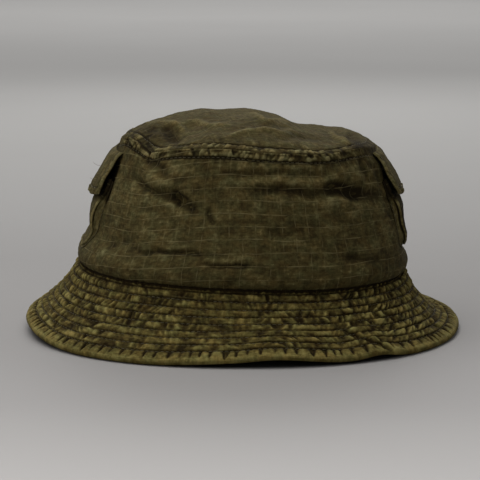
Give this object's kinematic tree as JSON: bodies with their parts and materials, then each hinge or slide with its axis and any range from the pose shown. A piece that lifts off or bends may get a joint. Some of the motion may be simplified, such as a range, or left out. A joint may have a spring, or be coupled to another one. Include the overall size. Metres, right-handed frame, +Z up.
{
  "type": "bucket hat",
  "caption": "Soft ripstop cotton bucket hat with a stitched brim and a bellows pocket with a hook-and-loop flap on each side",
  "frame": {"origin": "centre of the plane the brim rests on, under the middle of the brim", "axes": "+Z up, -Y the hat's front, -X the left pocket and +X the right pocket as seen from the front"},
  "size_m": [0.261, 0.267, 0.1266],
  "materials": {
    "ripstop_olive": "matte woven ripstop cotton, olive",
    "ripstop_olive_inside": "matte woven ripstop cotton, wrong side",
    "twill_tape": "matte cotton twill",
    "canvas_interlining": "undyed stiffened canvas",
    "sewing_thread": "spun polyester thread",
    "hook_and_loop": "brushed nylon tape"
  },
  "bodies": {
    "hat_body": {"brim_interlining": "canvas_interlining", "brim_spiral_stitch": "sewing_thread", "brim_top_front": "ripstop_olive", "brim_top_rear": "ripstop_olive", "brim_under_front": "ripstop_olive_inside", "brim_under_rear": "ripstop_olive_inside", "crown_front_panel": "ripstop_olive", "crown_rear_panel": "ripstop_olive", "crown_top_panel": "ripstop_olive", "crown_seam_tape": "twill_tape", "crown_lower_stitch_row": "sewing_thread", "crown_upper_stitch_row": "sewing_thread", "sweatband": "twill_tape", "left_pocket_gusset": "ripstop_olive", "left_pocket_stitch_row": "sewing_thread", "right_pocket_gusset": "ripstop_olive", "right_pocket_stitch_row": "sewing_thread"},
    "left_pocket_leaf": {"left_pocket_front": "ripstop_olive", "left_pocket_loop_tape": "hook_and_loop"},
    "left_flap_leaf": {"left_flap_facing": "ripstop_olive_inside", "left_flap_hook_tape": "hook_and_loop", "left_flap_outer": "ripstop_olive", "left_flap_stitch_row": "sewing_thread"},
    "right_pocket_leaf": {"right_pocket_front": "ripstop_olive", "right_pocket_loop_tape": "hook_and_loop"},
    "right_flap_leaf": {"right_flap_facing": "ripstop_olive_inside", "right_flap_hook_tape": "hook_and_loop", "right_flap_outer": "ripstop_olive", "right_flap_stitch_row": "sewing_thread"}
  },
  "joints": [
    {"name": "left_flap", "type": "hinge", "parent": "hat_body", "child": "left_flap_leaf", "pos_m": [-0.07687, 0, 0.10637], "axis": [0, 1, 0], "range_deg": [-2, 150]},
    {"name": "left_pocket", "type": "hinge", "parent": "hat_body", "child": "left_pocket_leaf", "pos_m": [-0.10277, 0, 0.05193], "axis": [0, -1, 0], "range_deg": [-0.2, 15]},
    {"name": "right_flap", "type": "hinge", "parent": "hat_body", "child": "right_flap_leaf", "pos_m": [0.08303, 0, 0.10632], "axis": [0, -1, 0], "range_deg": [-2, 150]},
    {"name": "right_pocket", "type": "hinge", "parent": "hat_body", "child": "right_pocket_leaf", "pos_m": [0.09896, 0, 0.05176], "axis": [0, 1, 0], "range_deg": [-0.2, 15]}
  ],
  "couplings": [
    {"joint": "left_pocket", "follows": "left_flap", "ratio": 0.1},
    {"joint": "right_pocket", "follows": "right_flap", "ratio": 0.1}
  ]
}
